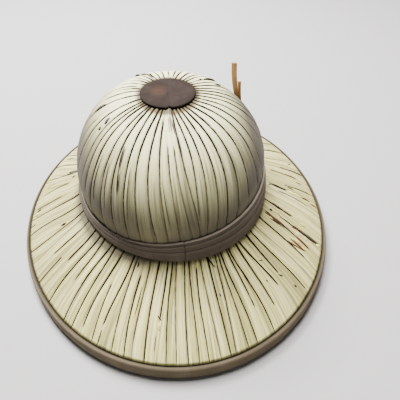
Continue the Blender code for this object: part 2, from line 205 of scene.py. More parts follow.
# Torn places by what shows in them: where each starts and ends (bearing in degrees and share of the
# way), its width in millimetres, and how far it stands off the leaf in millimetres.
TEAR_COLUMNS = "bearing share to_bearing to_share width proud"
BRIM_TEARS = {
    "crack": table(
        TEAR_COLUMNS,
        (-21.2, 0.32, -22.2, 0.48, 1.2, 0.1),
        (-119.9, 1, -119.6, 0.85, 1, 0.1),
        (-7.4, 0.12, -6.5, 0.18, 1.6, 0.1),
        (-5.1, 0.22, -7.3, 0.45, 1.6, 0.1),
        (8.8, 0.67, 8.2, 1, 1.4, 0.1),
        (-207.5, 0.8, -204.7, 0.45, 0.9, 0.1),
        (-193.6, 0.45, -191.8, 0.14, 2.2, 0.1),
        (-188.3, 0.19, -187.9, 0.26, 2.2, 0.1),
        (-178.4, 0.9, -178.2, 0.8, 2.4, 0.1),
        (-173.2, 1, -172.4, 0.88, 1.2, 0.1),
        (-160.9, 0.44, -160.2, 0.34, 2.2, 0.1),
        (-112.5, 0.14, -112.1, 0.07, 1.4, 0.1),
        (-109.7, 0.65, -108.5, 0.3, 0.8, 0.1),
        (-101.3, 0.57, -99.9, 0.62, 1.6, 0.1),
        (-76.6, 0.02, -74.4, 0.15, 1.6, 0.1),
        (-76.6, 0.42, -76.4, 0.46, 1.2, 0.1),
        (-56.3, 0.55, -56, 0.58, 1.2, 0.1),
        (-53.5, 0.34, -51.7, 0.37, 1.3, 0.1),
        (-48, 0.82, -47.7, 0.86, 1.4, 0.1),
        (-30.5, 0.1, -30.1, 0.42, 1.2, 0.1),
        (-29.1, 0.06, -29.4, 0.4, 1.6, 0.3),
        (-26.6, 0.48, -26.3, 0.64, 1.6, 0.2),
        (-24.9, 0.14, -24.5, 0.19, 2.9, 0.1),
        (-20.5, 0.19, -20.9, 0.35, 2.9, 0.1),
        (-6.8, 0.46, -5.4, 0.12, 3, 0.1),
        (0.9, 0.82, 1.1, 0.69, 1.4, 0.1),
        (15.3, 0.92, 12, 0.74, 1.7, 0.1),
    ),
    "fibre": table(
        TEAR_COLUMNS,
        (-101.9, 0.9, -101.6, 0.75, 0.9, 0.1),
        (-192.5, 0.43, -191.4, 0.15, 2.4, 0.1),
        (-50.6, 0.61, -49.2, 0.66, 1, 0.5),
        (-26.5, 0.63, -26.2, 0.95, 2.9, 0.2),
        (-4.9, 0.6, -4.3, 0.48, 2.3, 0.1),
    ),
    "rust": table(
        TEAR_COLUMNS,
        (-35.8, 0.42, -33.8, 0.77, 1.4, 0.1),
        (-27.7, 0.49, -26, 0.69, 1.6, 0.2),
        (-24.6, 0.23, -26, 0.36, 1.1, 0.2),
        (-19.7, 0.17, -20.2, 0.27, 2.2, 0.1),
        (-9, 0.84, -9.4, 0.98, 1.1, 0.1),
        (-7.9, 0.86, -7.4, 0.74, 1.1, 0.1),
        (-6.3, 0.5, -6.7, 0.74, 1.1, 0.1),
        (4.8, 0.51, 3.9, 0.76, 1.5, 0.1),
        (-33.6, 0.79, -33.4, 0.52, 2.6, 0.1),
        (-31.2, 0.81, -30.4, 0.57, 2.4, 0.1),
        (-28.7, 0.08, -29.1, 0.41, 4.3, 0.2),
    ),
    "bare": table(
        TEAR_COLUMNS,
        (-28.5, 0.34, -28.2, 0.88, 2.2, 0.1),
        (-18.7, 0.26, -18.9, 0.4, 2.4, 0.1),
    ),
    "chip": table(
        TEAR_COLUMNS,
        (-194.8, 0.98, -191.6, 0.66, 1.8, 0.3),
        (-33.2, 0.7, -33.1, 0.78, 2.2, 0.3),
        (-32.1, 0.56, -32.2, 0.68, 3, 0.3),
        (-28.7, 0.59, -28.9, 0.65, 3, 0.3),
        (-28, 0.71, -28.6, 0.77, 3, 0.3),
        (-25.1, 0.23, -26.6, 0.33, 2.4, 0.3),
        (-19, 0.3, -19.1, 0.36, 1.8, 0.3),
        (-195.8, 0.98, -195.2, 0.84, 1, 0.3),
        (-195.6, 1, -194.6, 0.86, 0.8, 0.2),
        (-193, 0.44, -192.7, 0.37, 1.9, 0.3),
        (-190.2, 0.89, -189.6, 0.61, 1.1, 0.2),
        (-177.1, 0.94, -176.6, 0.84, 1.6, 0.4),
        (-100.9, 0.64, -100.5, 0.72, 1.4, 0.5),
        (-30, 0.13, -29.8, 0.23, 2.2, 0.3),
        (-27.1, 0.91, -26.8, 0.98, 3.5, 0.4),
        (-24.1, 0.19, -24.4, 0.3, 2.2, 0.3),
        (-8.4, 0.97, -8.3, 0.84, 2.3, 0.3),
        (-7.4, 0.42, -7.4, 0.74, 4.3, 0.3),
        (-22.9, 0.63, -23.1, 0.72, 2.3, 0.3),
    ),
}

CROWN_TEARS = {
    "crack": table(
        TEAR_COLUMNS,
        (-240.5, 0.56, -243.5, 0.62, 2.6, 0.9),
        (-251.5, 0.68, -249, 0.82, 1.4, 0.6),
        (-185.2, 0.47, -186.7, 0.6, 6, 0.1),
        (-161.3, 0.57, -163.4, 0.63, 4.6, 0.1),
        (-161.3, 0.51, -161.6, 0.54, 3.4, 0.1),
        (-129.9, 0.57, -127.2, 0.4, 1.3, 0.1),
        (-127.5, 0.43, -124.3, 0.24, 1.3, 0.1),
        (-86.9, 0.74, -85.5, 0.59, 0.8, 0.1),
        (39.4, 0.68, 38.9, 0.51, 4.2, 0.8),
        (38.2, 0.75, 37.8, 0.71, 1.6, 0.5),
        (26.3, 0.65, 26, 0.57, 1.4, 0.5),
    ),
    "fibre": table(
        TEAR_COLUMNS,
        (-142.8, 0.45, -141, 0.1, 0.6, 0.1),
        (-135, 0.42, -131.5, 0.1, 0.6, 0.1),
        (-119.5, 0.45, -117, 0.1, 0.6, 0.1),
        (-98.8, 0.42, -95, 0.1, 0.6, 0.1),
        (-244, 0.62, -247.5, 0.72, 2.4, 0.7),
        (-248.5, 0.66, -246.5, 0.83, 2, 0.6),
        (-128.6, 0.56, -126.3, 0.4, 0.8, 0.2),
        (-125.7, 0.4, -124, 0.27, 0.7, 0.2),
        (-93.6, 0.82, -92.8, 0.7, 0.8, 0.1),
        (-92, 0.83, -90.4, 0.7, 0.9, 0.1),
        (-90.6, 0.83, -87.6, 0.69, 0.9, 0.1),
        (-88.4, 0.79, -86, 0.64, 0.8, 0.1),
        (-84.9, 0.68, -84.2, 0.55, 0.7, 0.1),
    ),
    "chip": table(
        TEAR_COLUMNS,
        (-88.9, 0.69, -88.2, 0.61, 0.7, 0.1),
        (-87, 0.63, -86.6, 0.55, 0.7, 0.1),
    ),
}

# Where the painted shade beside the band is darkest on the brim.
BAND_SHADE_BEARING = math.radians(-136.0)

# How high a torn place's shred lies, and half its thickness, which reaches through the uneven leaf.
TEAR_HEIGHT = 0.0003
TEAR_DEPTH = 0.0007

# The leaves where no photograph shows them: how many, how uneven, and the seed of their places.
BACK_CROWN_LEAVES = 19
BACK_BRIM_LEAVES = 18
BACK_UNEVEN_DEGREES = 1.1
LEAF_SEED = 11

# A leaf's mesh: its steps across, the crowding of those steps towards its edges, and its rows.
LEAF_STEPS_ACROSS = 8
EDGE_CROWDING = 0.12
CROWN_ROWS_INSIDE = 10
CROWN_ROWS_OUTSIDE = 46
BRIM_ROWS_ON_TOP = 46
BRIM_ROWS_UNDER = 10

# The climb that the crown's upright wall takes below the dome, and the share of its length by which a
# brim leaf starts inside the band.
WALL_CLIMB = 0.2
BRIM_TUCK = 0.027

# How far one leaf's edge lies above its neighbour, and the distance under which points are fused.
LAP_HEIGHT = 0.00018
FUSE = 0.000004


def srgb(red, green, blue):
    """Linear colour of an sRGB colour given in 0 to 255."""
    parts = (part / 255 for part in (red, green, blue))
    return tuple(((part + 0.055) / 1.055) ** 2.4 if part > 0.04 else part / 12.92 for part in parts)


def scaled(hue, times, more=0.0):
    """A lighter or darker colour."""
    return tuple(min(1.0, part * times + more) for part in hue)


def number(name, description, default, **more):
    """A size that a user may change."""
    return bpy.props.FloatProperty(name=name, description=description, default=default, **more)


def length(name, description, default):
    """A length that a user may change."""
    return number(name, description, default, subtype="DISTANCE", unit="LENGTH", precision=5)


def colour(name, description, default):
    """A colour that a user may change."""
    return bpy.props.FloatVectorProperty(
        name=name, description=description, default=default, size=3, min=0.0, max=1.0, subtype="COLOR"
    )


class HatSizes(bpy.types.PropertyGroup):
    """Sizes of the leaf, the cloth and the binding."""

    crown_groove: length("Crown groove", "Depth of the grooves between the crown's leaves", 0.0010)
    brim_groove: length("Brim groove", "Depth of the grooves between the brim's leaves", 0.0009)
    groove_reach: length("Groove reach", "How far from a leaf's edge its groove starts to sink", 0.0011)
    leaf_swell: length("Leaf swell", "How far the middle of a leaf stands proud", 0.0003)
    leaf_waver: length("Leaf waver", "Unevenness of the leaf covering", 0.0007)
    gather: length("Gathering", "Height of the gathered wrinkles beside the band", 0.0012)
    tear_lift: number("Tear lift", "How far torn leaf stands off, as a share of its own height", 1.0)


class HatColours(bpy.types.PropertyGroup):
    """Colours of the pieces."""

    leaf_pale: colour("Pale leaf", "The leaf where the light bleached it", srgb(236, 230, 166))
    leaf_grey: colour("Grey leaf", "The leaf where it kept some green", srgb(190, 186, 132))
    brim_pale: colour("Pale brim leaf", "The brim's leaf where it is bleached", srgb(233, 221, 140))
    brim_grey: colour("Grey brim leaf", "The brim's leaf where it is weathered", srgb(200, 190, 114))
    # The groove colour stands for dirt and painted shade in the grooves.
    groove: colour("Groove", "The dirt in the grooves", srgb(26, 20, 13))
    stain: colour("Stain", "Soiling beside the band", srgb(132, 120, 98))
    cloth: colour("Band cloth", "The band", srgb(104, 94, 84))
    bark: colour("Button", "The top button", srgb(51, 43, 39))
    rust: colour("Rust", "The patch on the button, and bare fibres", srgb(150, 96, 60))
    binding: colour("Rim binding", "The bound rim", srgb(115, 103, 82))
    raw: colour("Raw leaf", "The sprung strips", srgb(196, 150, 102))
    bare: colour("Bare leaf", "The layer under a leaf that tore away", srgb(236, 208, 168))
    lining: colour("Inside", "The plain inside of the crown", srgb(190, 178, 148))


def maths(operation, turned_round=False):
    """A method of Value that adds one Math node."""

    def method(self, *others):
        values = (self, *others)[:: -1 if turned_round else 1]
        return self.maker.node("ShaderNodeMath", {"operation": operation}, dict(enumerate(values)))

    return method


class Value:
    """A number that varies over a surface: a socket that Python's operators work on."""

    def __init__(self, maker, socket):
        self.maker = maker
        self.socket = socket

    __add__ = __radd__ = maths("ADD")
    __sub__ = maths("SUBTRACT")
    __rsub__ = maths("SUBTRACT", turned_round=True)
    __mul__ = __rmul__ = maths("MULTIPLY")
    __truediv__ = maths("DIVIDE")
    __pow__ = maths("POWER")
    __abs__ = maths("ABSOLUTE")
    at_least = maths("MAXIMUM")
    at_most = maths("MINIMUM")
    sin = maths("SINE")
    cos = maths("COSINE")
    root = maths("SQRT")

    def rise(self, low, high, out_low=0.0, out_high=1.0):
        """Smoothly from out_low to out_high as the value goes from low to high."""
        values = dict(enumerate((self, low, high, out_low, out_high)))
        return self.maker.node("ShaderNodeMapRange", {"interpolation_type": "SMOOTHSTEP"}, values)


class Maker:
    """Adds nodes to one tree."""

    def __init__(self, tree):
        self.tree = tree

    def node(self, kind, settings=None, values=None, out=0):
        """A new node with its settings, then the values or links of its sockets; gives one output."""
        made = self.tree.nodes.new(kind)
        for name, value in (settings or {}).items():
            setattr(made, name, value)
        for key, value in (values or {}).items():
            if isinstance(value, Value):
                self.tree.links.new(value.socket, made.inputs[key])
            elif made.inputs[key].type == "RGBA":
                made.inputs[key].default_value = (*value, 1.0)
            else:
                made.inputs[key].default_value = value
        return Value(self, made.outputs[out])

    def vector(self, x, y, z):
        return self.node("ShaderNodeCombineXYZ", None, {0: x, 1: y, 2: z})

    def parts(self, vector):
        made = self.node("ShaderNodeSeparateXYZ", None, {0: vector})
        return [Value(self, output) for output in made.socket.node.outputs]

    def mix(self, factor, first, second):
        """A colour between two colours."""
        return self.node("ShaderNodeMix", {"data_type": "RGBA"}, {0: factor, 6: first, 7: second}, 2)

    def layers(self, tone, *layers):
        """A colour with others over it, each given as how much of it shows and its hue."""
        for shows, hue in layers:
            tone = self.mix(shows, tone, hue)
        return tone

    def speckle(self, vector, scale, detail=2.0, roughness=0.5):
        """Noise from 0 to 1."""
        values = {"Vector": vector, "Scale": scale, "Detail": detail, "Roughness": roughness}
        return self.node("ShaderNodeTexNoise", {"noise_dimensions": "3D"}, values)

    def grain(self, x, y, z, detail=2.0, roughness=0.5):
        """Noise from 0 to 1 over three numbers."""
        return self.speckle(self.vector(x, y, z), 1.0, detail, roughness)


def new_tree(name, labels):
    """The node maker of a new Geometry Nodes tree, and the tree's inputs by their labels."""
    tree = bpy.data.node_groups.new(name, "GeometryNodeTree")
    tree.interface.new_socket(name="Geometry", in_out="OUTPUT", socket_type="NodeSocketGeometry")
    kinds = {"Geometry": "Geometry", **dict.fromkeys(labels, "Float"), "Material": "Material"}
    for label, kind in kinds.items():
        tree.interface.new_socket(name=label, in_out="INPUT", socket_type="NodeSocket" + kind)
    maker = Maker(tree)
    given = tree.nodes.new("NodeGroupInput").outputs
    return maker, {label: Value(maker, given[label]) for label in kinds}


def lay_grids(maker, points, across, rows):
    """One flat grid on each point, and how far across and along its grid each corner lies."""
    sides = {"Size X": 1.0, "Size Y": 1.0, "Vertices X": across + 1.0, "Vertices Y": rows + 1.0}
    grid = maker.node("GeometryNodeMeshGrid", None, sides)
    laid = maker.node("GeometryNodeInstanceOnPoints", None, {"Points": points, "Instance": grid})
    faces = maker.node("GeometryNodeRealizeInstances", None, {"Geometry": laid})
    flat_x, flat_y, _ = maker.parts(maker.node("GeometryNodeInputPosition"))
    return faces, flat_x + 0.5, flat_y + 0.5


def finish_tree(maker, faces, place, material):
    """Moves the faces to their place, fuses those that meet, sets the material and gives the tree."""
    steps = (
        ("SetPosition", {"Position": maker.vector(*place)}),
        ("MergeByDistance", {"Distance": FUSE}),
        ("SetShadeSmooth", {}),
        ("RealizeInstances", {}),
        ("SetMaterial", {"Material": material}),
    )
    for kind, values in steps:
        faces = maker.node("GeometryNode" + kind, None, {"Geometry": faces, **values})
    end = maker.tree.nodes.new("NodeGroupOutput")
    maker.tree.links.new(faces.socket, end.inputs["Geometry"])
    return maker.tree


def attribute(maker, name):
    """A number kept on the points."""
    return maker.node("GeometryNodeInputNamedAttribute", {"data_type": "FLOAT"}, {"Name": name})


def keep(maker, geometry, name, vector):
    """Stores a vector for the shader on each face's corners."""
    made = maker.node(
        "GeometryNodeStoreNamedAttribute",
        {"data_type": "FLOAT_VECTOR", "domain": "CORNER"},
        {"Geometry": geometry, "Name": name},
    )
    node = made.socket.node
    target = next(socket for socket in node.inputs if socket.name == "Value" and socket.enabled)
    maker.tree.links.new(vector.socket, target)
    return made


def dome_place(maker, angle, climb, inset):
    """A point of the crown in nodes. A climb under 0 goes down its upright wall."""
    quarter = climb.at_least(0.0).at_most(1.0) * (math.pi / 2)
    spread = quarter.cos().at_least(0.0) ** DOME_SPREAD_POWER
    rise = (DOME_HEIGHT - inset) * quarter.sin() ** DOME_RISE_POWER
    right = angle.cos()
    foot = SEAT_Z - CLEARANCE - BRIM_WALL - BAND_DIP * right
    z = BAND_TOP_Z + rise + climb.at_most(0.0) * (1.0 / WALL_CLIMB) * (BAND_TOP_Z - foot)
    above = z - BAND_TOP_Z - BAND_LIFT * right.at_least(0.0) - BAND_SAG * right.at_most(0.0)
    bulge = CROWN_BULGE * above.rise(*BULGE_COMES) * (1.0 - above.rise(*BULGE_GOES))
    x = CROWN_SHIFT + ((CROWN_HALF_WIDTH - inset) * spread + bulge) * right
    y = ((CROWN_HALF_LENGTH - inset) * spread + bulge) * angle.sin()
    return x, y, z


def brim_place(maker, angle, share, sunk):
    """A point of the brim in nodes."""
    turn_x, turn_y = angle.cos(), angle.sin()
    inner_x = CROWN_SHIFT + (CROWN_HALF_WIDTH + COLLAR_OUT) * turn_x
    inner_y = (CROWN_HALF_LENGTH + COLLAR_OUT) * turn_y
    x = inner_x + ((RIM_HALF_WIDTH - BRIM_EDGE_IN) * turn_x - inner_x) * share
    y = inner_y + ((RIM_HALF_LENGTH - BRIM_EDGE_IN) * turn_y - inner_y) * share
    on = share.at_least(0.0).at_most(1.0)
    rise = BRIM_RISE - CLEARANCE - BAND_DIP * turn_x
    slope = (rise - BRIM_FLARE) * (1.0 - on) + BRIM_FLARE * (1.0 - on) ** BRIM_FLARE_POWER
    bulge = BRIM_BULGE * ((on**1.5) * math.pi).sin()
    return x, y, HOOP_HEIGHT + slope + bulge - sunk


def edge_bearing(maker, side, share):
    """A leaf edge's bearing at a share of its length: a cubic through its four stations."""
    found = attribute(maker, side + "_3")
    for power in (2, 1, 0):
        found = found * share + attribute(maker, f"{side}_{power}")
    return found


def edge_strength(maker, side, share, gathers):
    """How dark and deep a leaf edge's groove is at a share of its length, and more where leaf gathers."""
    start, end = attribute(maker, side + "_from"), attribute(maker, side + "_to")
    shows = share.rise(start - 0.03, start + 0.03) * (1.0 - share.rise(end - 0.04, end + 0.02))
    strength = attribute(maker, side + "_dark") * (0.12 + 0.88 * shows)
    return strength.at_least(0.9 * gathers * end.rise(0.84, 0.94)) if gathers else strength


def one_radian(kind, angle, share):
    """How far one radian of bearing reaches over the leaf there."""
    if kind == "crown":
        half_width, half_length = CROWN_HALF_WIDTH, CROWN_HALF_LENGTH
        spread = (share * (math.pi / 2)).cos().at_least(0.0) ** DOME_SPREAD_POWER
    else:
        half_width = 0.5 * (CROWN_HALF_WIDTH + RIM_HALF_WIDTH)
        half_length = 0.5 * (CROWN_HALF_LENGTH + RIM_HALF_LENGTH)
        spread = 0.74 + 0.52 * share
    return ((half_width * angle.sin()) ** 2.0 + (half_length * angle.cos()) ** 2.0).root() * spread


def covering_tree(kind):
    """The tree that lays one leaf on each point, over the crown or over the brim."""
    labels = ("Across", "Rows", "Groove", "Reach", "Swell", "Waver", "Gather")
    maker, given = new_tree(kind + " leaf covering", labels)
    leaves, even, length_share = lay_grids(maker, given["Geometry"], given["Across"], given["Rows"])
    across = even - EDGE_CROWDING * (even * math.tau).sin()
    row = length_share * given["Rows"]
    seed = attribute(maker, "seed")

    # How far along the leaf each row lies, on its inner or its outer face.
    if kind == "crown":
        inside = float(CROWN_ROWS_INSIDE)
        outer = row.rise(inside + 0.4, inside + 0.6)
        whole = 1.0 + WALL_CLIMB
        climb_in = 1.0 - whole * (row / inside).at_most(1.0)
        outside = (row - inside - 1.0).at_least(0.0) / (given["Rows"] - inside - 1.0)
        climb_out = whole * outside - WALL_CLIMB
        share = climb_in + (climb_out - climb_in) * outer
        station = share.at_least(0.0).at_most(0.9)
    else:
        top = float(BRIM_ROWS_ON_TOP)
        last = top + 1.0 + BRIM_ROWS_UNDER
        past = row.rise(top + 0.4, top + 0.6)
        under = past - row.rise(last + 0.4, last + 0.6)
        outer = 1.0 - under
        whole = 1.0 + BRIM_TUCK
        share_out = whole * row / top - BRIM_TUCK
        share_in = (1.0 - whole * (row - top - 1.0) / float(BRIM_ROWS_UNDER)).at_least(-BRIM_TUCK)
        share = share_out + (share_in - share_out) * past
        station = share.at_least(0.0).at_most(1.0)

    # The bearings of the leaf's two edges there, and how far the point lies from each.
    near, far = (edge_bearing(maker, side, station) for side in ("near", "far"))
    angle = near + (far - near) * across
    reach = one_radian(kind, angle, station if kind == "crown" else share)
    from_near = (angle - near) * reach
    to_far = (far - angle) * reach

    # How far the point stands proud: the leaf's swell and lap, its grooves, waver and gathers.
    gathers = share.rise(0.58, 0.82) if kind == "crown" else None
    near_depth, far_depth = (edge_strength(maker, side, station, gathers) for side in ("near", "far"))
    sink = near_depth * (1.0 - from_near / given["Reach"]).at_least(0.0)
    sink = sink + far_depth * (1.0 - to_far / given["Reach"]).at_least(0.0)
    middle = 1.0 - (2.0 * across - 1.0) ** 2.0
    lap = near_depth * (1.0 - abs(across - 0.12) * 8.0).at_least(0.0) * LAP_HEIGHT
    waver = maker.speckle(maker.vector(angle * 4.0, share * 2.6, 0.0), 1.6) - 0.5
    own = maker.speckle(maker.vector(seed * 37.0, share * 2.2, across * 0.7), 1.8, 1.0) - 0.5
    proud = given["Swell"] * middle + lap - given["Groove"] * sink
    proud = proud + given["Waver"] * (waver + own)
    if kind == "brim":
        ridge = maker.grain(angle * 28.0, share * 1.5, seed, 2.0, 0.6) - 0.5
        proud = proud + given["Gather"] * ridge * 2.0 * (1.0 - share.rise(0.0, 0.38))
        soft = share.rise(-0.02, 0.03) * (1.0 - 0.6 * share.rise(0.93, 1.0))
        place = brim_place(maker, angle, share, BRIM_WALL * under - proud * outer * soft)
    else:
        ridge = maker.grain(angle * 20.0, share * 1.5, seed, 2.0, 0.6) - 0.5
        proud = proud + given["Gather"] * ridge * share.rise(0.60, 0.84)
        place = dome_place(maker, angle, share, CROWN_WALL * (1.0 - outer) - proud * outer)

    # What the shader reads.
    kept = keep(maker, leaves, "leaf", maker.vector(from_near * 1000.0, to_far * 1000.0, share))
    kept = keep(maker, kept, "groove", maker.vector(near_depth, far_depth, seed))
    kept = keep(maker, kept, "side", maker.vector(outer, angle, across))
    return finish_tree(maker, kept, place, given["Material"])


def tear_tree(kind):
    """The tree that lays one closed, pointed shred of leaf on each point."""
    maker, given = new_tree(kind + " tears", ("Around", "Rows", "Lift"))
    shreds, turned, along = lay_grids(maker, given["Geometry"], given["Around"], given["Rows"])
    around = turned * math.tau
    fat = (along * math.pi).sin()
    read = [attribute(maker, name) for name in TEAR_COLUMNS.split()]
    start, share_start, end, share_end, width, proud = read
    jag = maker.grain(attribute(maker, "seed") * 31.0, along * 5.0, 0.0) - 0.5
    share = share_start + (share_end - share_start) * along
    angle = start + (end - start) * along
    sideways = width * fat**0.7 * (1.0 + 0.9 * jag) * 0.5 * around.cos() + width * jag * 0.5 * fat
    angle = angle + sideways / one_radian(kind, angle, share)
    lift = proud * given["Lift"] * fat
    height = TEAR_HEIGHT + lift * (0.5 + 0.5 * around.sin()) + TEAR_DEPTH * around.sin() * fat**0.5
    laid_on = dome_place if kind == "crown" else brim_place
    return finish_tree(maker, shreds, laid_on(maker, angle, share, height * -1.0), given["Material"])


def grow(name, tree, columns, inputs, material):
    """Runs a tree on one point a row, and gives its result as an object with a plain mesh."""
    count = len(next(iter(columns.values())))
    points = bpy.data.meshes.new(name + " points")
    points.from_pydata([(0.0, 0.0, 0.0)] * count, [], [])
    for label, values in columns.items():
        points.attributes.new(label, "FLOAT", "POINT").data.foreach_set("value", values)
    made = bpy.data.objects.new(name, points)
    bpy.context.scene.collection.objects.link(made)
    modifier = made.modifiers.new(name, "NODES")
    modifier.node_group = tree
    inputs = {**inputs, "Material": material}
    for item in tree.interface.items_tree:
        if item.in_out == "INPUT" and item.name in inputs:
            modifier[item.identifier] = inputs[item.name]
    bpy.context.view_layer.update()
    graph = bpy.context.evaluated_depsgraph_get()
    evaluated = made.evaluated_get(graph)
    mesh = bpy.data.meshes.new_from_object(evaluated, preserve_all_data_layers=True, depsgraph=graph)
    made.modifiers.remove(modifier)
    made.data = mesh
    bpy.data.meshes.remove(points)
    for label in columns:
        if label in mesh.attributes:
            mesh.attributes.remove(mesh.attributes[label])
    if not mesh.polygons:
        raise RuntimeError(f"{name} came out empty")
    turn_outward(mesh)
    return made


def turn_outward(mesh):
    """Recalculates the faces' directions on a closed mesh."""
    shell = bmesh.new()
    shell.from_mesh(mesh)
    bmesh.ops.recalc_face_normals(shell, faces=shell.faces[:])
    shell.to_mesh(mesh)
    shell.free()


def cubic(stations, values):
    """Coefficients of the cubic through four stations, from the constant up."""
    rows = [[station**power for power in range(4)] for station in stations]
    return list(Matrix(rows).inverted() @ Vector(values))


def grooves_all_round(grooves, stations, back_leaves, dice):
    """The grooves of the table, and evenly spread ones over the side that the photograph hides."""
    rows = list(grooves)
    names = list(rows[0])[: len(stations)]
    first, last = rows[0], rows[-1]
    for leaf in range(1, back_leaves):
        share = leaf / back_leaves
        uneven = dice.uniform(-BACK_UNEVEN_DEGREES, BACK_UNEVEN_DEGREES)
        row = {name: last[name] + (first[name] + 360.0 - last[name]) * share + uneven for name in names}
        row.update({"dark": dice.uniform(0.5, 1.0), "from": 0.0, "to": dice.uniform(0.8, 1.2)})
        rows.append(row)
    columns = {}
    for index, row in enumerate(rows):
        beyond = rows[(index + 1) % len(rows)]
        turn = 360.0 if index == len(rows) - 1 else 0.0
        for side, edge, more in (("near", row, 0.0), ("far", beyond, turn)):
            powers = cubic(stations, [math.radians(edge[name] + more) for name in names])
            found = {**dict(enumerate(powers)), **{part: edge[part] for part in ("dark", "from", "to")}}
            for part, value in found.items():
                columns.setdefault(f"{side}_{part}", []).append(value)
        columns.setdefault("seed", []).append(dice.random())
    return columns


def tear_columns(rows, dice):
    """The rows of one kind of tear, as columns in radians and metres."""
    degree, whole, millimetre = math.pi / 180, 1.0, 0.001
    scales = (degree, whole, degree, whole, millimetre, millimetre)
    names = TEAR_COLUMNS.split()
    columns = {name: [row[name] * scale for row in rows] for name, scale in zip(names, scales)}
    columns["seed"] = [dice.random() for _ in rows]
    return columns


# Materials.


def new_material(name):
    """An empty material, its node maker and a function that joins the shader's sockets."""
    made = bpy.data.materials.new(name)
    made.use_nodes = True
    shader = made.node_tree.nodes["Principled BSDF"]
    maker = Maker(made.node_tree)

    def set_shader(**sockets):
        for label, value in sockets.items():
            socket = shader.inputs[label.replace("_", " ")]
            if isinstance(value, Value):
                maker.tree.links.new(value.socket, socket)
            else:
                socket.default_value = value

    return made, maker, set_shader


def bump(maker, height, distance, strength=1.0):
    """A Bump node's normal."""
    values = {"Strength": strength, "Distance": distance, "Height": height}
    return maker.node("ShaderNodeBump", None, values)


